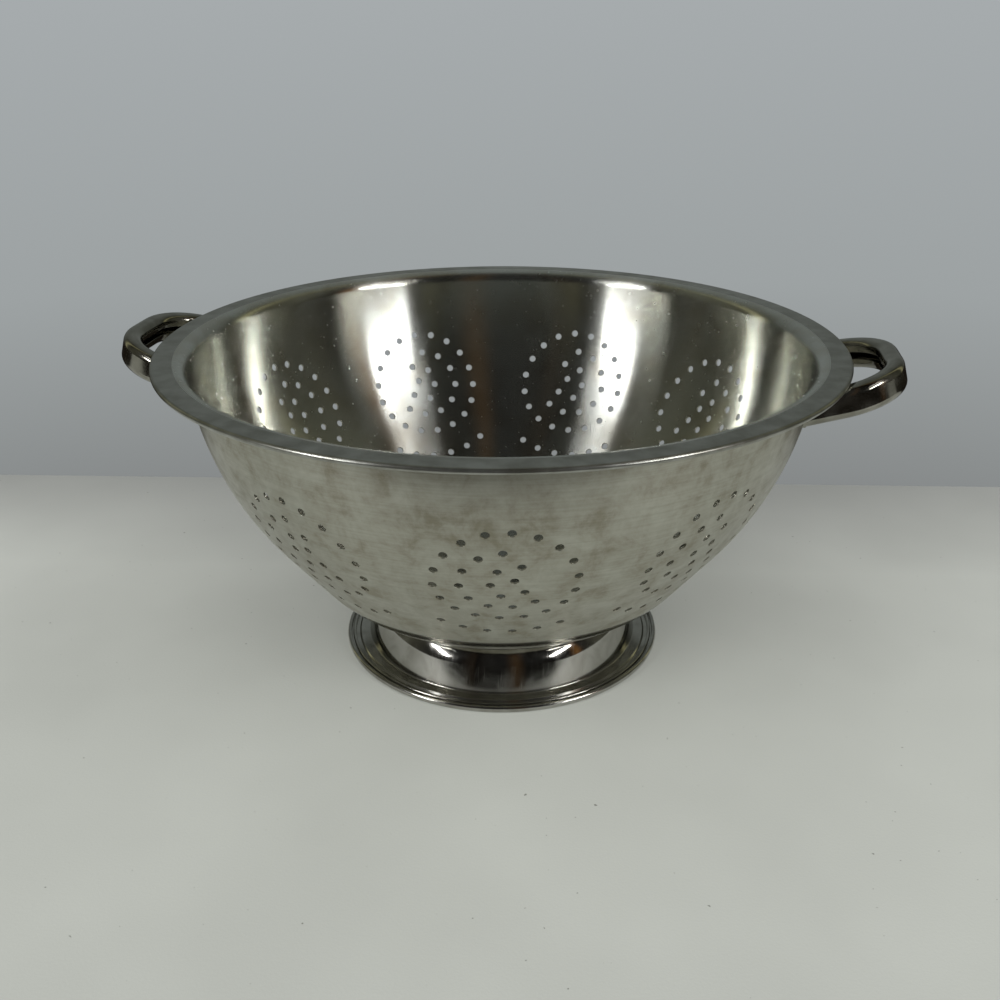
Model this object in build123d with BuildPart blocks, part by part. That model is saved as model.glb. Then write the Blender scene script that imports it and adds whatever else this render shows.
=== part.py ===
from build123d import *
from build123d.topology import SkipClean
import os
from math import asin, cos, hypot, radians, sin, tan

# Stainless steel colander: a perforated bowl, a pressed foot ring and two hollow loop handles.
# Millimetres, +Z up. The origin is the centre of the circle that the foot rests on.
# The handles lie along X, and the bowl, foot and hole pattern turn about Z.

# Overall sizes
rim_radius = 145.0  # to the outer edge of the lip
lip_height = 141.0  # top of the lip above the table
foot_height = 25.0  # top of the foot ring above the table
sheet = 0.8  # steel sheet of the bowl and the foot ring
weld_gap = 0.1  # between two pieces that are spot welded face to face
overrun = 2.0  # how far a cut runs past what it cuts

# Bowl
lip_width = 13.5  # from the top of the wall out to the lip's edge
ball_radius_share = 0.7887  # where the wall turns from straight to round, of the radius under the lip
ball_height_share = 0.3465  # the same place, of the bowl's depth
knuckle_share = 0.453  # turn from the floor to the wall, of the length of the straight stretch
lip_turn_radius = 2.8  # turn from the wall to the lip, under the lip
hem_width = 4.0  # edge of the lip, folded back under itself
hem_thickness = 2.4
hem_corner = 0.6

# Hole pattern
hole_diameter = 3.2
hole_sides = 6
rosette_count = 9
first_rosette_angle = -0.9  # degrees from the first handle
rosette_share = 0.298  # rosettes' middle, of the round stretch of the wall
ring_share = 0.2006  # ring's radius, of the wall's radius
ring_holes = 18
ring_first_angle = 5.4
crescent_share = 0.636  # crescent's radius, of the ring's radius, as are the shares that follow
crescent_holes = 8
crescent_first_angle = 93.4
crescent_step = 31.0
short_arc_share = 0.417
short_arc_holes = 3
short_arc_first_angle = 141.0
short_arc_step = 44.0
near_arc_share = 0.212  # first short arc's centre, to the right of the rosette's centre
far_arc_share = 0.538  # second short arc's centre
far_arc_rise_share = 0.098
scallop_share = 1.515  # arc of holes under each rosette
scallop_holes = 6
scallop_first_angle = 232.5
scallop_step = 13.9

# Foot ring
flange_inset = 2.6  # from the edge of the bowl's flat floor in to the flange
flange_width = 8.0  # flat top, welded to the bowl's floor
foot_shoulder_radius = 15.0
foot_brim_width = 11.0  # from the upright wall out to the edge
foot_band_height = 2.4  # top of the flat band next to the wall
foot_groove_floor = 1.6  # top of the sheet on each side of the bead
inner_groove_width = 1.6
bead_width = 1.4
bead_height = 3.0
outer_groove_width = 0.8
foot_edge_width = 1.8
foot_edge_height = 3.4
foot_edge_corner = 0.4

# Handles
handle_stand_off = 17.0  # from the lip's edge out to the middle of the grip
handle_half_width = 31.0  # middle of each arm from the handle's axis
handle_corner_radius = 24.0
handle_height = 12.7
handle_width = 7.9
handle_edge = 2.0  # flat that breaks each edge
handle_sheet = 1.0
handle_slot = 3.0  # open seam along the inner side
handle_rise = 16.0  # degrees, outward and up
handle_drop = 9.5  # from the lip's top to the middle of the arms, at the lip's edge
pad_width = 18.0  # plate at the end of each arm, turned inward along the wall
pad_height = 15.0
pad_thickness = 1.2

os.makedirs("parts", exist_ok=True)


# Bowl: one deep-drawn and punched sheet. The section is drawn along the outside, from the middle
# of the floor to the lip, and thickened inward. The lip's edge is folded under as a hem.
# The wall is straight at first and then follows a ball, whose centre is on the axis.
# One gore of the bowl, with one rosette in its middle, is repeated round the axis.
bowl_floor = foot_height + weld_gap
lip_underside = lip_height - sheet
lip_root_radius = rim_radius - lip_width
ball_start_radius = ball_radius_share * lip_root_radius
ball_start_height = bowl_floor + ball_height_share * (lip_underside - bowl_floor)
wall_centre_height = (lip_root_radius**2 + lip_underside**2 - ball_start_radius**2 - ball_start_height**2) / (
    2 * (lip_underside - ball_start_height)
)
wall_radius = hypot(lip_root_radius, lip_underside - wall_centre_height)
cone_slope = asin(ball_start_radius / wall_radius)
cone_length = (ball_start_height - bowl_floor) / sin(cone_slope)
floor_corner = ball_start_radius - cone_length * cos(cone_slope)
floor_radius = floor_corner - knuckle_share * cone_length
knuckle_radius = knuckle_share * cone_length / tan(cone_slope / 2)
hem_middle = rim_radius - hem_width / 2
gore_angle = 360 / rosette_count
with BuildPart() as gore:
    with BuildSketch(Plane.XZ.rotated((0, 0, first_rosette_angle - gore_angle / 2))):
        with BuildLine(mode=Mode.PRIVATE) as outside:
            Polyline((0, bowl_floor), (floor_corner, bowl_floor), (ball_start_radius, ball_start_height))
            RadiusArc(
                (ball_start_radius, ball_start_height), (lip_root_radius, lip_underside), -wall_radius
            )
            Line((lip_root_radius, lip_underside), (hem_middle, lip_underside))
            corners = outside.vertices().sort_by(Axis.X)
            fillet(corners[1], knuckle_radius)
            fillet(corners[-2], lip_turn_radius)
        with BuildLine():
            add(outside.line)
            offset(amount=sheet, side=Side.LEFT)
        make_face()
        with BuildSketch(mode=Mode.PRIVATE) as hem:
            with Locations((hem_middle, lip_height - hem_thickness / 2)):
                Rectangle(hem_width, hem_thickness)
            chamfer(hem.vertices(), hem_corner)
        add(hem.sketch)
    revolve(axis=Axis.Z, revolution_arc=gore_angle)

ball_start_angle = cone_slope - radians(90)
lip_root_angle = asin((lip_underside - wall_centre_height) / wall_radius)
rosette_angle = ball_start_angle + rosette_share * (lip_root_angle - ball_start_angle)


def wall_plane(across, up):
    """Plane square to the wall, at a place measured along the sheet from the rosette's centre."""
    angle = max(rosette_angle + up / wall_radius, ball_start_angle)
    below = (angle - rosette_angle) * wall_radius - up
    radius = wall_radius * cos(angle) + below * sin(angle)
    height = wall_centre_height + wall_radius * sin(angle) - below * cos(angle)
    place = radians(first_rosette_angle) + across / radius
    outward = Vector(cos(angle) * cos(place), cos(angle) * sin(place), sin(angle))
    return Plane(origin=(radius * cos(place), radius * sin(place), height), z_dir=outward)


def arc_of_places(radius_share, count, first_angle, step, across_share=0.0, up_share=0.0):
    """Places on an arc, measured along the sheet, from shares of the ring's radius."""
    unit = ring_share * wall_radius
    angles = [radians(first_angle + step * i) for i in range(count)]
    return [
        (unit * (across_share + radius_share * cos(a)), unit * (up_share + radius_share * sin(a)))
        for a in angles
    ]


# One rosette is a ring, a crescent and two short arcs, with a scallop of holes under it.
# The holes are punched round. Here each has six sides, which keeps the number of faces down.
rosette = arc_of_places(1, ring_holes, ring_first_angle, 360 / ring_holes)
rosette += arc_of_places(crescent_share, crescent_holes, crescent_first_angle, crescent_step)
for across_share, up_share in ((near_arc_share, 0.0), (far_arc_share, far_arc_rise_share)):
    rosette += arc_of_places(
        short_arc_share, short_arc_holes, short_arc_first_angle, short_arc_step, across_share, up_share
    )
rosette += arc_of_places(scallop_share, scallop_holes, scallop_first_angle, scallop_step)
with gore:
    with BuildSketch(*[wall_plane(across, up) for across, up in rosette]):
        RegularPolygon(hole_diameter / 2, hole_sides, major_radius=False)
    extrude(amount=sheet + overrun, both=True, mode=Mode.SUBTRACT)
# The seams between the gores stay as edges.
with SkipClean():
    with BuildPart() as bowl:
        with PolarLocations(0, rosette_count):
            add(gore.part)
bowl.part.label = "bowl"
export_step(bowl.part, "parts/bowl.step")


# Foot ring: one pressed sheet. It has a flat top under the bowl's floor, a round shoulder, an
# upright wall, and a flat band, a bead and a thick edge outside it. It rests on the edge.
flange_end = floor_radius - flange_inset
foot_wall_radius = flange_end + foot_shoulder_radius
foot_radius = foot_wall_radius + foot_brim_width
edge_middle = foot_radius - foot_edge_width / 2
bead_middle = foot_radius - foot_edge_width - outer_groove_width - bead_width / 2
bead_rise = bead_height - foot_groove_floor + sheet
groove_start = bead_middle - bead_width / 2 - inner_groove_width
band_end = groove_start - foot_band_height + foot_groove_floor
with BuildPart() as foot_ring:
    with BuildSketch(Plane.XZ) as foot_section:
        with BuildLine(mode=Mode.PRIVATE) as top_side:
            Polyline(
                (flange_end - flange_width, foot_height),
                (foot_wall_radius, foot_height),
                (foot_wall_radius, foot_band_height),
                (band_end, foot_band_height),
                (groove_start, foot_groove_floor),
                (edge_middle, foot_groove_floor),
            )
            shoulder = top_side.vertices().sort_by(Axis.Y)[-2:].sort_by(Axis.X)[-1]
            fillet(shoulder, foot_shoulder_radius)
        with BuildLine():
            add(top_side.line)
            offset(amount=sheet, side=Side.RIGHT, kind=Kind.INTERSECTION)
        make_face()
        with Locations((bead_middle, bead_height - bead_rise / 2)):
            Rectangle(bead_width, bead_rise)
        with BuildSketch(mode=Mode.PRIVATE) as edge:
            with Locations((edge_middle, foot_edge_height / 2)):
                Rectangle(foot_edge_width, foot_edge_height)
            chamfer(edge.vertices(), foot_edge_corner)
        add(edge.sketch)
    revolve(axis=Axis.Z)
foot_ring.part.label = "foot_ring"
export_step(foot_ring.part, "parts/foot_ring.step")


# Handle: a strip rolled into a hollow section, bent into a loop in a plane that rises outward,
# with an open seam along the inside of the loop.
# Each arm ends in a plate, bent to the wall and spot welded to it under the lip.
slope = radians(handle_rise)
along = Vector(cos(slope), 0, sin(slope))
square_to_loop = Vector(-sin(slope), 0, cos(slope))
handle_level = lip_height - handle_drop
loop_plane = Plane(origin=(rim_radius, 0, handle_level), x_dir=along, z_dir=square_to_loop)
grip = handle_stand_off / cos(slope)
pad_middle = handle_half_width + handle_width / 2 - pad_width / 2
arm_end_depth = hypot(handle_half_width, handle_level - wall_centre_height)
arm_end_radius = (wall_radius**2 - arm_end_depth**2) ** 0.5
arm_end_height = handle_level - (rim_radius - arm_end_radius) * tan(slope)
arm_overrun = (arm_end_radius - overrun - handle_width - rim_radius) / cos(slope)
with BuildPart() as handle:
    with Locations(*[(arm_end_radius, side * pad_middle, arm_end_height) for side in (-1, 1)]):
        Box(pad_width, pad_width, pad_height)
    with Locations((0, 0, wall_centre_height)):
        Sphere(wall_radius + weld_gap + pad_thickness, mode=Mode.INTERSECT)
    with BuildLine(loop_plane) as loop:
        FilletPolyline(
            (arm_overrun, -handle_half_width),
            (grip, -handle_half_width),
            (grip, handle_half_width),
            (arm_overrun, handle_half_width),
            radius=handle_corner_radius,
        )
    with BuildSketch(Plane(origin=loop.line @ 0, x_dir=(0, 1, 0), z_dir=along)) as tube:
        Rectangle(handle_width, handle_height)
        chamfer(tube.vertices(), handle_edge)
        offset(amount=-handle_sheet, mode=Mode.SUBTRACT)
        with Locations((handle_width / 2, 0)):
            Rectangle(handle_width, handle_slot, mode=Mode.SUBTRACT)
    sweep(path=loop.line)
    with Locations((0, 0, wall_centre_height)):
        Sphere(wall_radius + weld_gap, mode=Mode.SUBTRACT)
for name, turn in (("handle_right", 0), ("handle_left", 180)):
    with BuildPart() as placed:
        add(handle.part, rotation=(0, 0, turn))
    placed.part.label = name
    export_step(placed.part, f"parts/{name}.step")
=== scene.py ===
from math import asin, atan2, ceil, cos, hypot, pi, radians, sin, sqrt, tan

import bpy
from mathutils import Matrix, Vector
from mathutils.geometry import delaunay_2d_cdt


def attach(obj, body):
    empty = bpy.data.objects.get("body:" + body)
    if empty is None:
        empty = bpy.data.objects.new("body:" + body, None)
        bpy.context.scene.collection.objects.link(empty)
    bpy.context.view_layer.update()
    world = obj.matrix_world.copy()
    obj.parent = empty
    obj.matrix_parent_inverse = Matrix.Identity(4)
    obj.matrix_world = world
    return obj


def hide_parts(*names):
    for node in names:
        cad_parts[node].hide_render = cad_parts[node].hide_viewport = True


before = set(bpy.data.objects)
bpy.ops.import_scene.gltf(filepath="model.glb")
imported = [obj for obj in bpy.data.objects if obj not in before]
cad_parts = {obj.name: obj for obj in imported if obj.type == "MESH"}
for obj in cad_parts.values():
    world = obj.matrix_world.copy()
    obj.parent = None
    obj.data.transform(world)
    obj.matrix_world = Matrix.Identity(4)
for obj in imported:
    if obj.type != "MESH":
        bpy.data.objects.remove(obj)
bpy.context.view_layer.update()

# The table, the light and the camera of the photograph. The colander stands near the back edge of a
# pale painted board, with a pale wall behind it. Two tall narrow windows behind the camera light it,
# and the rest of the room is darker, with a few warm things in it. Lengths are in metres.
camera_place = (0.0677, -0.4565, 0.2724)
camera_pitch = 24.14  # degrees below level
camera_turn = 8.45  # degrees, from looking along +Y towards -X
camera_roll = 0.15
camera_lens = 39.96
table_back = 0.1754  # from the axis to the back edge
table_front = -0.3  # to the front edge, which the picture doesn't reach
table_turn = 6.3
table_width = 4.0


def linear(hex_colour):
    """sRGB hex to linear red, green, blue and full alpha."""
    parts = [int(hex_colour[i : i + 2], 16) / 255 for i in (1, 3, 5)]
    return [c / 12.92 if c <= 0.04045 else ((c + 0.055) / 1.055) ** 2.4 for c in parts] + [1.0]


def add_node(tree, kind, links=None, stops=(), **settings):
    """A node with its properties, its inputs by name or number, and the stops of its colour ramp."""
    made = tree.nodes.new(kind)
    for key, value in settings.items():
        setattr(made, key, value)
    for number, (share, colour) in enumerate(stops):
        if number > 1:
            made.color_ramp.elements.new(share)
        made.color_ramp.elements[number].position = share
        made.color_ramp.elements[number].color = linear(colour)
    for key, value in (links or {}).items():
        if isinstance(value, bpy.types.NodeSocket):
            tree.links.new(value, made.inputs[key])
        else:
            made.inputs[key].default_value = value
    return made


def new_material(name):
    """A material with its node tree, its shader and the place of each point in metres."""
    made = bpy.data.materials.new(name)
    made.use_nodes = True
    tree = made.node_tree
    place = add_node(tree, "ShaderNodeTexCoord").outputs["Object"]
    return made, tree, tree.nodes["Principled BSDF"], place


def new_object(name, verts, faces, normals=None):
    """A smooth mesh object from its points and faces."""
    mesh = bpy.data.meshes.new(name)
    mesh.from_pydata(verts, [], faces)
    mesh.shade_smooth()
    if normals:
        mesh.normals_split_custom_set_from_vertices(normals)
    made = bpy.data.objects.new(name, mesh)
    bpy.context.collection.objects.link(made)
    return made


camera = bpy.data.objects.new("camera", bpy.data.cameras.new("camera"))
bpy.context.collection.objects.link(camera)
camera.location = camera_place
camera.rotation_euler = (radians(90 - camera_pitch), radians(camera_roll), radians(camera_turn))
camera.data.lens = camera_lens
camera.data.sensor_width = 36.0
camera.data.clip_start = 0.01
bpy.context.scene.camera = camera

away = Vector((-sin(radians(table_turn)), cos(radians(table_turn)), 0))
aside = Vector((away.y, -away.x, 0))
table_corners = [
    away * depth + aside * across
    for depth, across in (
        (table_front, -table_width / 2),
        (table_front, table_width / 2),
        (table_back, table_width / 2),
        (table_back, -table_width / 2),
    )
]
table = new_object("table", table_corners, [(0, 1, 2, 3)])

# White board, painted with a roller: a plain pale grey with a fine nap and specks, darker by the wall with
# painted shade.
light_from = -0.06  # where the board is no longer darkened by the wall, from the axis
clouds_per_metre, specks_per_metre, nap_per_metre = 7.0, 420.0, 900.0
nap_depth = 0.0002
board, tree, shader, place = new_material("painted_board")
links = {0: place, 1: away}
depth = add_node(tree, "ShaderNodeVectorMath", links, operation="DOT_PRODUCT").outputs["Value"]
share = add_node(tree, "ShaderNodeMapRange", {0: depth, 1: table_back, 2: light_from}).outputs[0]
# Painted shade darkens the grey towards the wall, and painted light lifts it a little behind the bowl's
# middle.
board_tones_painted_shade_and_light = ((0.0, "#A8AAA6"), (0.5, "#CDD0C9"), (1.0, "#BFC2BB"))
tone = add_node(tree, "ShaderNodeValToRGB", {0: share}, board_tones_painted_shade_and_light)
soft = add_node(tree, "ShaderNodeTexNoise", {"Vector": place, "Scale": clouds_per_metre, "Detail": 3.0})
cloud = add_node(tree, "ShaderNodeValToRGB", {0: soft.outputs[0]}, ((0.35, "#F4F4F4"), (0.65, "#FFFFFF")))
links = {0: 1.0, 6: tone.outputs[0], 7: cloud.outputs[0]}
clouded = add_node(tree, "ShaderNodeMix", links, data_type="RGBA", blend_type="MULTIPLY")
specks = add_node(tree, "ShaderNodeTexNoise", {"Vector": place, "Scale": specks_per_metre, "Detail": 1.0})
dots = add_node(tree, "ShaderNodeValToRGB", {0: specks.outputs[0]}, ((0.17, "#A8A8A4"), (0.23, "#FFFFFF")))
links = {0: 1.0, 6: clouded.outputs[2], 7: dots.outputs[0]}
painted = add_node(tree, "ShaderNodeMix", links, data_type="RGBA", blend_type="MULTIPLY")
tree.links.new(painted.outputs[2], shader.inputs["Base Color"])
nap = add_node(tree, "ShaderNodeTexNoise", {"Vector": place, "Scale": nap_per_metre, "Detail": 2.0})
links = {"Height": nap.outputs[0], "Strength": 0.25, "Distance": nap_depth}
bump = add_node(tree, "ShaderNodeBump", links)
tree.links.new(bump.outputs[0], shader.inputs["Normal"])
shader.inputs["Roughness"].default_value = 0.6
table.data.materials.append(board)

# Each window is (turn to the right of straight back over the camera, distance, width, height, lowest
# point, brightness), in degrees and metres. The lower part of each is far brighter.
lit_point = Vector((0, 0, 0.1))
windows = (
    (52.5, 2.0, 0.12, 0.9, 0.4, 40.0),
    (52.5, 2.0, 0.12, 1.2, 1.3, 5.0),
    (-55.5, 2.0, 0.12, 0.9, 0.4, 40.0),
    (-55.5, 2.0, 0.12, 1.2, 1.3, 5.0),
)
for turn, distance, width, height, low, strength in windows:
    lamp = bpy.data.lights.new("window", "AREA")
    lamp.shape = "RECTANGLE"
    lamp.size, lamp.size_y = width, height
    lamp.energy = strength * pi * width * height
    window = bpy.data.objects.new("window", lamp)
    bpy.context.collection.objects.link(window)
    heading = radians(camera_turn - 90 + turn)
    middle = Vector((distance * cos(heading), distance * sin(heading), low + height / 2))
    window.location = middle
    window.rotation_euler = (lit_point - middle).to_track_quat("-Z", "Z").to_euler()

world = bpy.data.worlds.new("room")
bpy.context.scene.world = world
world.use_nodes = True
tree = world.node_tree
tree.nodes.clear()
direction = add_node(tree, "ShaderNodeTexCoord").outputs["Generated"]
links = {"Vector": direction, "Rotation": (0, 0, radians(90 - camera_turn))}
facing = add_node(tree, "ShaderNodeMapping", links)
links = {"Vector": facing.outputs[0]}
round_room = add_node(tree, "ShaderNodeTexGradient", links, gradient_type="RADIAL")
height = add_node(tree, "ShaderNodeSeparateXYZ", {0: direction}).outputs["Z"]

# Once round the room, counterclockwise from straight ahead of the camera: the share of the turn and
# the colour there. The dark half is behind the camera.
room_colours = (
    (0.0, "#7E8381"),
    (0.1, "#6C706C"),
    (0.145, "#44463E"),
    (0.165, "#D0CCA4"),
    (0.18, "#4A4B40"),
    (0.25, "#5E5E53"),
    (0.31, "#2F2F2A"),
    (0.4, "#161615"),
    (0.434, "#2C241B"),
    (0.442, "#020202"),
    (0.45, "#1C1A17"),
    (0.51, "#141413"),
    (0.533, "#46341F"),
    (0.556, "#141412"),
    (0.665, "#181815"),
    (0.685, "#8A6236"),
    (0.7, "#24231F"),
    (0.72, "#34332D"),
    (0.75, "#5E5E54"),
    (0.82, "#4A4B40"),
    (0.837, "#C8C49A"),
    (0.855, "#44463E"),
    (0.9, "#6C706C"),
    (1.0, "#7E8381"),
)
room = add_node(tree, "ShaderNodeValToRGB", {0: round_room.outputs["Fac"]}, room_colours)
# Below the table's level the room is a dark warm floor. Heights here are of a direction's unit vector.
floor_edge = (-0.12, 0.02)
floor_colour = "#221E19"
above = add_node(tree, "ShaderNodeMapRange", {0: height, 1: floor_edge[0], 2: floor_edge[1]})
links = {0: above.outputs[0], 6: linear(floor_colour), 7: room.outputs[0]}
lower_room = add_node(tree, "ShaderNodeMix", links, data_type="RGBA")
# The wall behind the table is darker low down.
wall_low, wall_high = -0.4, 0.0
wall_share = add_node(tree, "ShaderNodeMapRange", {0: height, 1: wall_low, 2: wall_high})
wall_colours = ((0.0, "#838686"), (0.45, "#9DA2A3"), (1.0, "#A6ABAD"))
wall = add_node(tree, "ShaderNodeValToRGB", {0: wall_share.outputs[0]}, wall_colours)
rays = add_node(tree, "ShaderNodeLightPath").outputs
# The metal shows the room. The table gets soft light, strong from the window side and weak from the wall.
window_side, wall_side = (-0.6, 1.42), (0.3, 0.25)  # (how far ahead a direction points, brightness there)
links = {0: direction, 1: away}
ahead = add_node(tree, "ShaderNodeVectorMath", links, operation="DOT_PRODUCT").outputs["Value"]
links = {0: ahead, 1: window_side[0], 2: wall_side[0], 3: window_side[1], 4: wall_side[1]}
soft = add_node(tree, "ShaderNodeMapRange", links).outputs[0]
links = {0: rays["Is Glossy Ray"], 6: soft, 7: lower_room.outputs[2]}
lit = add_node(tree, "ShaderNodeMix", links, data_type="RGBA")
links = {0: rays["Is Camera Ray"], 6: lit.outputs[2], 7: wall.outputs[0]}
mixed = add_node(tree, "ShaderNodeMix", links, data_type="RGBA")
background = add_node(tree, "ShaderNodeBackground", {"Color": mixed.outputs[2]})
add_node(tree, "ShaderNodeOutputWorld", {"Surface": background.outputs[0]})
bpy.context.scene.view_settings.view_transform = "Standard"


# Bowl: one sheet of stainless steel, deep drawn, punched and then rubbed with a fine abrasive belt
# while it turned. The wall turns out into the lip, whose edge is folded under as a hem. The holes have
# slightly eased edges.
mm = 0.001
sheet = 0.8 * mm
bowl_floor = 25.1 * mm
knuckle_radius = 47.0 * mm
cone_slope = radians(52.0)
ball_radius = 131.63 * mm
ball_height = 146.04 * mm
lip_turn = 5.0 * mm
lip_height = 141.0 * mm
rim_radius = 145.0 * mm
hem_width = 4.0 * mm
hem_round = 1.2 * mm
fold_round = 0.4 * mm
crease_width, crease_depth = 0.3 * mm, 0.2 * mm
hole_radius = 1.6 * mm
hole_ease = 0.12 * mm
rosette_count = 9
first_rosette = radians(-0.9)
rosette_height = 85.4 * mm
gore = 2 * pi / rosette_count
gore_columns = 28
# The band with the holes, and where the plain wall under it starts, as distances up the wall from the
# rosettes' middle.
band_low, band_high = -45 * mm, 31 * mm
wall_start = -50 * mm
ball_start = cone_slope - pi / 2
corner_radius = ball_radius * cos(ball_start) - (
    ball_height + ball_radius * sin(ball_start) - bowl_floor
) / tan(cone_slope)
floor_radius = corner_radius - knuckle_radius * tan(cone_slope / 2)
rosette_angle = asin((rosette_height - ball_height) / ball_radius)


def wall_place(up):
    """Radius, height and the outward direction's two parts, at a distance up from the rosettes' middle."""
    angle = rosette_angle + up / ball_radius
    down = max(ball_start - angle, 0) * ball_radius
    angle = max(angle, ball_start)
    radius = ball_radius * cos(angle) - down * cos(cone_slope)
    height = ball_height + ball_radius * sin(angle) - down * sin(cone_slope)
    return radius, height, cos(angle), sin(angle)


def arc(middle, radius, first, last, steps, inward=False):
    """Points on an arc of the section with their outward directions. Angles are in radians from level."""
    side = -1 if inward else 1
    angles = [first + (last - first) * i / steps for i in range(steps + 1)]
    return [
        (middle[0] + radius * cos(a), middle[1] + radius * sin(a), side * cos(a), side * sin(a))
        for a in angles
    ]


class Turned:
    """Points, directions and faces of a piece turned about Z. Each face has the number of its finish."""

    def __init__(self, columns, start=0.0):
        self.columns, self.start = columns, start
        self.verts, self.normals, self.faces, self.finishes, self.known = [], [], [], [], {}

    def point(self, place, out):
        key = tuple(round(c, 6) for c in place)
        if key not in self.known:
            self.known[key] = len(self.verts)
            self.verts.append(place)
            self.normals.append(out)
        return self.known[key]

    def at(self, radius, height, out_r, out_z, turn):
        c, s = cos(turn), sin(turn)
        return self.point((radius * c, radius * s, height), (out_r * c, out_r * s, out_z))

    def face(self, corners, finish):
        corners = [v for i, v in enumerate(corners) if v != corners[i - 1]]
        if len(set(corners)) > 2:
            self.faces.append(corners)
            self.finishes.append(finish)

    def skin(self, section, finish=0):
        """Faces between the turned points of a section, which has the metal on its left."""
        turns = [self.start + 2 * pi * i / self.columns for i in range(self.columns)]
        rows = [[self.at(*station, turn) for turn in turns] for station in section]
        for low, high in zip(rows, rows[1:]):
            for i in range(self.columns):
                j = (i + 1) % self.columns
                self.face((low[i], low[j], high[j], high[i]), finish)

    def make(self, name, materials):
        made = new_object(name, self.verts, self.faces, self.normals)
        for material in materials:
            made.data.materials.append(material)
        made.data.polygons.foreach_set("material_index", self.finishes)
        return made


def inner(section):
    """The same section on the other side of the sheet, walked back."""
    return [(r - sheet * a, z - sheet * b, -a, -b) for r, z, a, b in reversed(section)]


outside, inside, lip = 0, 1, 2
bowl = Turned(rosette_count * gore_columns, first_rosette - gore / 2)
knuckle = arc((floor_radius, bowl_floor + knuckle_radius), knuckle_radius, -pi / 2, ball_start, 16)
floor_steps = 6
flat_floor = [(floor_radius * i / floor_steps, bowl_floor, 0, -1) for i in range(floor_steps)]
lower = flat_floor + knuckle + [wall_place(up) for up in (wall_start, band_low)]
turn_height = lip_height - sheet - lip_turn
turn_angle = asin((turn_height - ball_height) / (ball_radius + lip_turn))
turn_middle = ((ball_radius + lip_turn) * cos(turn_angle), turn_height)
top_up = (turn_angle - rosette_angle) * ball_radius
wall_steps = 10
upper = [wall_place(band_high + (top_up - band_high) * i / wall_steps) for i in range(wall_steps + 1)]
lip_bend = arc(turn_middle, lip_turn, pi + turn_angle, pi / 2, 8, inward=True)
hem_start = rim_radius - hem_width
hem_bottom = lip_height - 2 * hem_round
under_lip = [(hem_start - crease_width, lip_height - sheet, 0, -1)]
crease = [
    (hem_start, lip_height - sheet - crease_depth, -1, 0),
    (hem_start, hem_bottom + fold_round, -1, 0),
]
fold = arc((hem_start + fold_round, hem_bottom + fold_round), fold_round, pi, 1.5 * pi, 3)
rolled = arc((rim_radius - hem_round, lip_height - hem_round), hem_round, -pi / 2, pi / 2, 12)
bowl.skin(lower, outside)
bowl.skin(upper + lip_bend[1:], outside)
bowl.skin(lip_bend[-1:] + under_lip + crease + fold + rolled + inner(lip_bend)[:1], lip)
bowl.skin(inner(upper + lip_bend[1:]), inside)
bowl.skin(inner(lower), inside)


def holes_on_arc(radius, count, first, step, across=0.0, up=0.0):
    """Hole centres on an arc, as distances along the sheet from the rosette's middle."""
    angles = [radians(first + step * i) for i in range(count)]
    return [((across + radius * cos(a)) * mm, (up + radius * sin(a)) * mm) for a in angles]


# One rosette is a ring, a crescent and two short arcs, with a scallop of holes under it.
rosette = holes_on_arc(26.4, 18, 5.4, 20.0) + holes_on_arc(16.8, 8, 93.4, 31.0)
rosette += holes_on_arc(11.0, 3, 141.0, 44.0, 5.6) + holes_on_arc(11.0, 3, 141.0, 44.0, 14.2, 2.6)
rosette += holes_on_arc(40.0, 6, 232.5, 13.9)

# The band of the wall with the holes is a flat net of triangles, wrapped round the axis. Across is
# kept as an angle times this radius, which keeps the triangles even.
net_radius = 112 * mm
net_step = gore * net_radius / gore_columns
rows = round((band_high - band_low) / net_step)
edge_points = 20
outer_ring_radius, outer_ring_points = 1.9 * hole_radius, 14
clear_of_holes = 2.7 * hole_radius


def hole_ring(hole, radius, points):
    """A hole's edge, or a ring round it, in the net."""
    ring = []
    for i in range(points):
        angle = 2 * pi * i / points
        up = hole[1] + radius * sin(angle)
        turn = hole[0] / wall_place(hole[1])[0] + radius * cos(angle) / wall_place(up)[0]
        ring.append((turn * net_radius, up))
    return ring


net, kept_edges, rings = [], [], []
for hole in rosette:
    first = len(net)
    rings.append(range(first, first + edge_points))
    net += hole_ring(hole, hole_radius + hole_ease, edge_points)
    kept_edges += [(first + i, first + (i + 1) % edge_points) for i in range(edge_points)]
    net += hole_ring(hole, outer_ring_radius, outer_ring_points)
holes_in_net = [(hole[0] / wall_place(hole[1])[0] * net_radius, hole[1]) for hole in rosette]
for i in range(gore_columns + 1):
    for j in range(rows + 1):
        spot = ((i / gore_columns - 0.5) * gore * net_radius, band_low + (band_high - band_low) * j / rows)
        clear = min(hypot(spot[0] - x, spot[1] - y) for x, y in holes_in_net)
        if clear > clear_of_holes or j in (0, rows) or i in (0, gore_columns):
            net.append(spot)
found, _, triangles, source, _, _ = delaunay_2d_cdt([Vector(p) for p in net], kept_edges, [], 0, 1e-9)
ring_of = {}
for number, ring in enumerate(rings):
    for k in ring:
        ring_of[k] = number
found_at = {k: i for i, origin in enumerate(source) for k in origin}
owner = [next((ring_of[k] for k in origin if k in ring_of), None) for origin in source]
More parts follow.
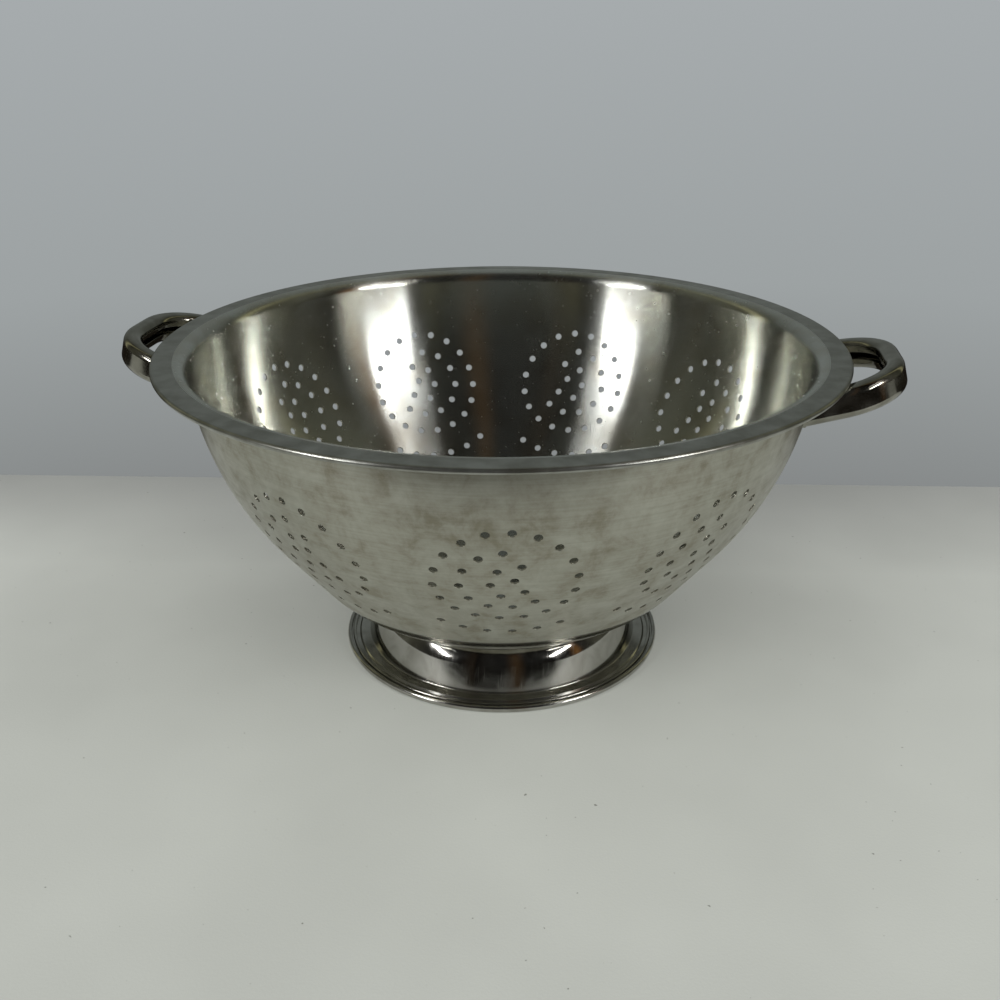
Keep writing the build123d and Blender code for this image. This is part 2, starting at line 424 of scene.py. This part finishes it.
for k in range(rosette_count):
    middle = first_rosette + gore * k
    both = []
    for depth, sign in ((0, 1), (sheet, -1)):
        layer = []
        for spot in found:
            r, z, a, b = wall_place(spot.y)
            layer.append(
                bowl.at(r - depth * a, z - depth * b, sign * a, sign * b, middle + spot.x / net_radius)
            )
        both.append(layer)
    for triangle in triangles:
        owners = {owner[i] for i in triangle}
        if len(owners) == 1 and None not in owners:
            continue
        bowl.face([both[0][i] for i in triangle], outside)
        bowl.face([both[1][i] for i in reversed(triangle)], inside)
    for hole, ring in zip(rosette, rings):
        spots = hole_ring(hole, hole_radius, edge_points)
        layers = [[both[0][found_at[i]] for i in ring]]
        for depth in (hole_ease, sheet - hole_ease):
            row = []
            for i, (x, up) in enumerate(spots):
                r, z, a, b = wall_place(up)
                turn = middle + x / net_radius
                angle = 2 * pi * i / edge_points
                place = Vector(((r - depth * a) * cos(turn), (r - depth * a) * sin(turn), z - depth * b))
                across = Vector((-sin(turn), cos(turn), 0))
                upward = Vector((-b * cos(turn), -b * sin(turn), a))
                out = -(across * cos(angle) + upward * sin(angle))
                row.append(bowl.point(tuple(place), tuple(out)))
            layers.append(row)
        layers.append([both[1][found_at[i]] for i in ring])
        for outer, deeper in zip(layers, layers[1:]):
            for i in range(edge_points):
                j = (i + 1) % edge_points
                bowl.face((outer[j], deeper[j], deeper[i], outer[i]), outside)


def ring_lines(tree, place, spacing, run, detail=2.0):
    """Noise in rings round Z, as a belt leaves them. Spacing is across the lines and run along them."""
    flat = add_node(tree, "ShaderNodeVectorMath", {0: place, 1: (1, 1, 0)}, operation="MULTIPLY")
    links = {0: flat.outputs[0]}
    radius = add_node(tree, "ShaderNodeVectorMath", links, operation="LENGTH").outputs["Value"]
    parts = add_node(tree, "ShaderNodeSeparateXYZ", {0: place})
    links = {0: radius, 1: parts.outputs["Z"], 2: parts.outputs["X"]}
    joined = add_node(tree, "ShaderNodeCombineXYZ", links)
    links = {0: joined.outputs[0], 1: (1 / spacing, 1 / spacing, 1 / run)}
    scaled = add_node(tree, "ShaderNodeVectorMath", links, operation="MULTIPLY")
    links = {"Vector": scaled.outputs[0], "Scale": 1.0, "Detail": detail}
    return add_node(tree, "ShaderNodeTexNoise", links).outputs["Fac"]


def scratches(tree, place, turn, width, length, share):
    """Fine straight scratches in one direction. Share, from 0 to 1, is how much they cover."""
    links = {"Vector": place, "Rotation": turn, "Scale": (1 / width, 1 / length, 1 / length)}
    turned = add_node(tree, "ShaderNodeMapping", links)
    noise = add_node(tree, "ShaderNodeTexNoise", {"Vector": turned.outputs[0], "Scale": 1.0, "Detail": 1.0})
    edge, fade = 0.5 + 0.25 * (1 - share), 0.08
    return add_node(tree, "ShaderNodeMapRange", {0: noise.outputs[0], 1: edge, 2: edge + fade}).outputs[0]


def steel(name, anisotropy=0.0):
    """Stainless steel. The brushing runs in rings round Z, so reflections stretch up and down."""
    made, tree, shader, place = new_material(name)
    shader.inputs["Metallic"].default_value = 1.0
    shader.inputs["Anisotropic"].default_value = anisotropy
    shader.inputs["Anisotropic Rotation"].default_value = 0.25
    tangent = add_node(tree, "ShaderNodeTangent", direction_type="RADIAL", axis="Z")
    tree.links.new(tangent.outputs[0], shader.inputs["Tangent"])
    return made, tree, shader, place


# Outside: belt-brushed stainless steel, dulled by years of washing. The brushing runs round the bowl in
# lines too fine to see one by one, drawn coarser, 0.5 mm apart. Blots of dried water and heat stain it
# warm. Below the turn to the floor it was left polished.
polish_top, brushed_from = 41.6 * mm, 43.2 * mm
satin_outside, tree, shader, place = steel("satin_steel", 0.5)
lines = ring_lines(tree, place, 0.5 * mm, 45 * mm)
links = {"Vector": place, "Scale": 1 / (12 * mm), "Detail": 8.0, "Roughness": 0.66, "Distortion": 0.25}
stains = add_node(tree, "ShaderNodeTexNoise", links)
stain_tones = ((0.34, "#949080"), (0.47, "#A7A599"), (0.64, "#B4B4A9"))
stained = add_node(tree, "ShaderNodeValToRGB", {0: stains.outputs[0]}, stain_tones)
streaks = ring_lines(tree, place, 0.9 * mm, 40 * mm, 3.0)
streaked = add_node(tree, "ShaderNodeValToRGB", {0: streaks}, ((0.32, "#E6E6E3"), (0.62, "#FFFFFF")))
links = {0: 0.5, 6: stained.outputs[0], 7: streaked.outputs[0]}
tone = add_node(tree, "ShaderNodeMix", links, data_type="RGBA", blend_type="MULTIPLY")
tree.links.new(tone.outputs[2], shader.inputs["Base Color"])
up = add_node(tree, "ShaderNodeSeparateXYZ", {0: place}).outputs["Z"]
brushed = add_node(tree, "ShaderNodeMapRange", {0: up, 1: polish_top, 2: brushed_from}).outputs[0]
dulled = add_node(tree, "ShaderNodeMapRange", {0: stains.outputs[0], 1: 0.35, 2: 0.65, 3: 0.4, 4: 0.3})
rough = add_node(tree, "ShaderNodeMapRange", {0: brushed, 3: 0.14, 4: dulled.outputs[0]})
tree.links.new(rough.outputs[0], shader.inputs["Roughness"])
bump = add_node(tree, "ShaderNodeBump", {"Height": lines, "Strength": 0.25, "Distance": 0.05 * mm})
tree.links.new(bump.outputs[0], shader.inputs["Normal"])

# Inside: the same sheet, rubbed to a soft shine while it turned. The rings, too fine to see one by one,
# draw each reflection out into a streak up and down the wall. Cutlery and scouring have left faint
# scratches in several directions and slightly duller patches, and dried drops small dull spots.
polished_inside, tree, shader, place = steel("rubbed_inside", 1.0)
links = {"Vector": place, "Scale": 1 / (18 * mm), "Detail": 5.0, "Distortion": 0.5}
patches = add_node(tree, "ShaderNodeTexNoise", links)
marks = scratches(tree, place, (0.3, 0.9, 0.4), 0.35 * mm, 22 * mm, 0.45)
for turn in ((1.2, 0.2, 1.9), (0.7, 1.6, 2.8), (2.1, 0.5, 0.9)):
    more = scratches(tree, place, turn, 0.35 * mm, 18 * mm, 0.4)
    marks = add_node(tree, "ShaderNodeMath", {0: marks, 1: more}, operation="MAXIMUM").outputs[0]
spots = add_node(tree, "ShaderNodeTexNoise", {"Vector": place, "Scale": 1 / (1.9 * mm), "Detail": 1.0})
spotted = add_node(tree, "ShaderNodeMapRange", {0: spots.outputs[0], 1: 0.73, 2: 0.78, 4: 6.0})
worn = add_node(tree, "ShaderNodeMath", {0: marks, 1: spotted.outputs[0]}, operation="MAXIMUM").outputs[0]
dulled = add_node(tree, "ShaderNodeMapRange", {0: patches.outputs[0], 1: 0.4, 2: 0.7, 3: 0.21, 4: 0.23})
rough = add_node(tree, "ShaderNodeMath", {0: worn, 1: 0.03, 2: dulled.outputs[0]}, operation="MULTIPLY_ADD")
tree.links.new(rough.outputs[0], shader.inputs["Roughness"])
tint = add_node(tree, "ShaderNodeValToRGB", {0: patches.outputs[0]}, ((0.36, "#BBBAB0"), (0.56, "#C5C7C1")))
tree.links.new(tint.outputs[0], shader.inputs["Base Color"])
lines = ring_lines(tree, place, 0.9 * mm, 120 * mm)
bump = add_node(tree, "ShaderNodeBump", {"Height": lines, "Strength": 0.01, "Distance": 0.05 * mm})
tree.links.new(bump.outputs[0], shader.inputs["Normal"])

# Lip: the satin rim, handled most, which gives a soft even grey shine with small scuffs across it.
satin_lip, tree, shader, place = steel("satin_lip", 0.4)
wear = add_node(tree, "ShaderNodeTexNoise", {"Vector": place, "Scale": 1 / (9 * mm), "Detail": 5.0})
worn = add_node(tree, "ShaderNodeValToRGB", {0: wear.outputs[0]}, ((0.35, "#8A8A82"), (0.65, "#A6A7A1")))
tree.links.new(worn.outputs[0], shader.inputs["Base Color"])
marks = scratches(tree, place, (0.0, 0.0, 0.6), 0.4 * mm, 7 * mm, 0.3)
rough = add_node(tree, "ShaderNodeMath", {0: marks, 1: 0.12, 2: 0.3}, operation="MULTIPLY_ADD")
tree.links.new(rough.outputs[0], shader.inputs["Roughness"])
lines = ring_lines(tree, place, 0.5 * mm, 60 * mm)
bump = add_node(tree, "ShaderNodeBump", {"Height": lines, "Strength": 0.15, "Distance": 0.05 * mm})
tree.links.new(bump.outputs[0], shader.inputs["Normal"])
bowl_object = bowl.make("bowl_sheet", (satin_outside, polished_inside, satin_lip))
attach(bowl_object, "root")
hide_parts("bowl")


# Foot ring: one pressed and polished sheet, spot welded under the bowl's floor. It has a flat top, a
# round shoulder, a wall that leans in, then a flat brim, a bead and a rolled edge that stands on the
# table.
foot = Turned(240)


def rounded(corners):
    """Stations of a section from its corners, each (radius, height, how round)."""
    stations = []
    for (r0, z0, _), (r1, z1, turn), (r2, z2, _) in zip(corners, corners[1:], corners[2:]):
        before, after = Vector((r1 - r0, z1 - z0)).normalized(), Vector((r2 - r1, z2 - z1)).normalized()
        bend = before.angle_signed(after)
        reach = abs(turn * tan(bend / 2))
        start = Vector((r1, z1)) - before * reach
        side = -1 if bend > 0 else 1
        middle = start + Vector((-before.y, before.x)) * turn * side
        steps = max(2, ceil(abs(bend) / radians(12)))
        for i in range(steps + 1):
            heading = atan2(before.y, before.x) - bend * i / steps
            out = Vector((sin(heading), -cos(heading)))
            spot = middle + out * turn * side
            stations.append((spot.x, spot.y, out.x, out.y))
    return stations


# The foot's section, once round the sheet, in millimetres.
foot_corners = (
    (39.0, 24.2, 0.1), (54.7, 24.2, 15.2), (61.6, 1.6, 1.4), (66.3, 1.6, 0.3), (67.1, 0.8, 0.2),
    (71.2, 0.8, 0.15), (71.2, 0.0, 0.3), (73.0, 0.0, 1.4), (73.0, 3.1, 1.4), (71.2, 3.1, 0.35),
    (71.2, 1.6, 0.15), (70.4, 1.6, 0.15), (70.4, 3.0, 0.6), (69.0, 3.0, 0.6), (69.0, 1.6, 0.15),
    (67.4, 1.6, 0.2), (66.6, 2.4, 0.3), (62.3, 2.4, 0.6), (55.4, 25.0, 16.0), (39.0, 25.0, 0.1),
)
foot_corners = [tuple(size * mm for size in corner) for corner in foot_corners]
foot_section = rounded(foot_corners + foot_corners[:2])
foot.skin(foot_section + foot_section[:1])
# Mirror polish gone a little dull: sharp dark reflections under fine scratches and faint cloudy smears.
# The brim, where cloths and the table rub, is duller.
brim_top, wall_from, brim_roughness = 2.8 * mm, 5.5 * mm, 0.16
bright, tree, shader, place = steel("polished_steel")
links = {"Vector": place, "Scale": 1 / (11 * mm), "Detail": 5.0, "Distortion": 0.8}
smears = add_node(tree, "ShaderNodeTexNoise", links)
dulled = add_node(tree, "ShaderNodeMapRange", {0: smears.outputs[0], 1: 0.4, 2: 0.7, 3: 0.07, 4: 0.14})
marks = scratches(tree, place, (0.4, 0.3, 0.7), 0.3 * mm, 12 * mm, 0.4)
more = scratches(tree, place, (1.3, 0.8, 2.2), 0.3 * mm, 12 * mm, 0.4)
marks = add_node(tree, "ShaderNodeMath", {0: marks, 1: more}, operation="MAXIMUM")
links = {0: marks.outputs[0], 1: 0.08, 2: dulled.outputs[0]}
rough = add_node(tree, "ShaderNodeMath", links, operation="MULTIPLY_ADD")
up = add_node(tree, "ShaderNodeSeparateXYZ", {0: place}).outputs["Z"]
links = {0: up, 1: brim_top, 2: wall_from, 3: brim_roughness, 4: rough.outputs[0]}
brim = add_node(tree, "ShaderNodeMapRange", links)
tree.links.new(brim.outputs[0], shader.inputs["Roughness"])
tint = add_node(tree, "ShaderNodeValToRGB", {0: smears.outputs[0]}, ((0.35, "#9C9A93"), (0.6, "#B2B1AB")))
tree.links.new(tint.outputs[0], shader.inputs["Base Color"])
foot_object = foot.make("foot_ring_sheet", (bright,))
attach(foot_object, "root")
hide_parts("foot_ring")


# Handles: each is a steel strip rolled into a hollow section with an open seam, bent into a loop
# with the seam inside and polished. Its arms end in curved plates, spot welded to the wall.
handle_reach = 162.0 * mm
arm_offset = 31.0 * mm
handle_corner = 24.0 * mm
handle_rise = radians(16.0)
handle_level = 131.5 * mm
pad_gap = 0.1 * mm
pad_thickness = 1.2 * mm
pad_width, pad_height, pad_corner = 18.0 * mm, 15.0 * mm, 3.0 * mm
pad_middle = arm_offset + 3.95 * mm - pad_width / 2
pad_sunk = 0.2 * mm  # how far the strip's ends go into the plates
arm_back = 25 * mm
corner_steps = 18
along = Vector((cos(handle_rise), 0, sin(handle_rise)))
square_to_loop = Vector((-sin(handle_rise), 0, cos(handle_rise)))
grip = (handle_reach - rim_radius) / cos(handle_rise)
# The strip's section, once round the hollow and the seam, in millimetres.
tube_corners = (
    (3.95, 1.5, 0.3), (3.95, 6.35, 3.4), (-3.95, 6.35, 3.4), (-3.95, -6.35, 3.4), (3.95, -6.35, 3.4),
    (3.95, -1.5, 0.3), (2.95, -1.5, 0.3), (2.95, -5.35, 2.4), (-2.95, -5.35, 2.4), (-2.95, 5.35, 2.4),
    (2.95, 5.35, 2.4), (2.95, 1.5, 0.3),
)
tube_corners = [tuple(size * mm for size in corner) for corner in tube_corners]
tube_section = rounded(tube_corners[-1:] + tube_corners + tube_corners[:1])
loop_path = [(-arm_back, -arm_offset, 0.0)]
for corner in (-1, 1):
    for i in range(corner_steps + 1):
        heading = (pi / 4) * (corner + 1) + (pi / 2) * i / corner_steps
        s = grip - handle_corner + handle_corner * sin(heading)
        v = corner * (arm_offset - handle_corner) - handle_corner * cos(heading)
        loop_path.append((s, v, heading))
loop_path.append((-arm_back, arm_offset, pi))
wall_middle = Vector((0, 0, ball_height))

# Each plate is (across, up) from its middle, rounded at the corners, with eased edges.
pad_outline = []
pad_steps = 4
for corner, (x, y) in enumerate(((1, 1), (-1, 1), (-1, -1), (1, -1))):
    for step in range(pad_steps + 1):
        heading = (corner + step / pad_steps) * pi / 2
        across = x * (pad_width / 2 - pad_corner) + pad_corner * cos(heading)
        up = y * (pad_height / 2 - pad_corner) + pad_corner * sin(heading)
        pad_outline.append((across, up))
pad_ease = 0.3 * mm
pad_face_share = 1 - 2 * pad_ease / pad_height
# The plate's edge from its back to its face, each (rise, lean) as plate_point takes them.
pad_rises = (
    (0.0, 0.0),
    (0.0, 1.0),
    (pad_ease, 1.0),
    (pad_thickness - pad_ease, 1.0),
    (pad_thickness, 0.5),
    (pad_thickness, 0.0),
)
pad_height_middle = handle_level - (rim_radius - sqrt(ball_radius**2 - arm_offset**2)) * tan(handle_rise)


def plate_point(handle, side, middle, spot, rise, lean):
    """A point of a plate on the wall. Rise is from its back, and lean turns its direction to the edge."""
    x, y = spot
    share = 1.0 if lean else pad_face_share
    across, up = middle + x * share, pad_height_middle + y * share - ball_height
    radius = ball_radius + pad_gap + rise
    depth = sqrt(radius * radius - across * across - up * up)
    out = Vector((depth, across, up)).normalized()
    edge = Vector((0, x, y)).normalized() if lean else Vector()
    face = out if rise > pad_thickness / 2 else -out
    out = (face * (1 - lean) + edge * lean).normalized()
    place = (side * depth, side * across, up + ball_height)
    return handle.point(place, (side * out.x, side * out.y, out.z))


def to_wall(place, heading_back):
    """Where a line from a place meets the outside of the plates on the wall."""
    radius = ball_radius + pad_gap + pad_thickness - pad_sunk
    offset = place - wall_middle
    half = offset.dot(heading_back)
    return place + heading_back * (-half + sqrt(half * half - offset.length_squared + radius * radius))


# Polished strip, dark where it shows the room, scratched along its length by years of hanging and
# stacking, with dull grey patches.
steel_strip, tree, shader, place = steel("polished_handle")
smears = add_node(tree, "ShaderNodeTexNoise", {"Vector": place, "Scale": 1 / (8 * mm), "Detail": 5.0})
dulled = add_node(tree, "ShaderNodeMapRange", {0: smears.outputs[0], 1: 0.4, 2: 0.7, 3: 0.11, 4: 0.22})
marks = scratches(tree, place, (0.0, 0.0, pi / 2), 0.25 * mm, 9 * mm, 0.2)
links = {0: marks, 1: 0.06, 2: dulled.outputs[0]}
rough = add_node(tree, "ShaderNodeMath", links, operation="MULTIPLY_ADD")
tree.links.new(rough.outputs[0], shader.inputs["Roughness"])
tint = add_node(tree, "ShaderNodeValToRGB", {0: smears.outputs[0]}, ((0.35, "#807E74"), (0.6, "#99978E")))
tree.links.new(tint.outputs[0], shader.inputs["Base Color"])
for name, side in (("right", 1), ("left", -1)):
    handle = Turned(1)
    rows = []
    for number, (s, v, heading) in enumerate(loop_path):
        centre = Vector((rim_radius, 0, handle_level)) + along * s + Vector((0, v, 0))
        inward = -along * sin(heading) + Vector((0, cos(heading), 0))
        row = []
        for a, h, na, nh in tube_section:
            place = centre + inward * a + square_to_loop * h
            if number in (0, len(loop_path) - 1):
                place = to_wall(place, along)
            out = inward * na + square_to_loop * nh
            place, out = ((side * part.x, side * part.y, part.z) for part in (place, out))
            row.append(handle.point(place, out))
        rows.append(row)
    for before, after in zip(rows, rows[1:]):
        for i in range(len(tube_section)):
            handle.face((before[i - 1], before[i], after[i], after[i - 1]), 0)
    for middle in (-pad_middle, pad_middle):
        rings = [
            [plate_point(handle, side, middle, spot, rise, lean) for spot in pad_outline]
            for rise, lean in pad_rises
        ]
        for low, high in zip(rings, rings[1:]):
            for i in range(len(pad_outline)):
                handle.face((low[i - 1], low[i], high[i], high[i - 1]), 0)
        for rise, turn_over in ((0.0, True), (pad_thickness, False)):
            rings = []
            for share in (pad_face_share, 0.5, 0.0):
                spots = [(x * share, y * share) for x, y in pad_outline]
                rings.append([plate_point(handle, side, middle, spot, rise, 0.0) for spot in spots])
            for wide, narrow in zip(rings, rings[1:]):
                for i in range(len(pad_outline)):
                    corners = (wide[i - 1], wide[i], narrow[i], narrow[i - 1])
                    handle.face(corners[::-1] if turn_over else corners, 0)
    handle_object = handle.make("handle_" + name + "_strip", (steel_strip,))
    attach(handle_object, "root")
    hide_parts("handle_" + name)
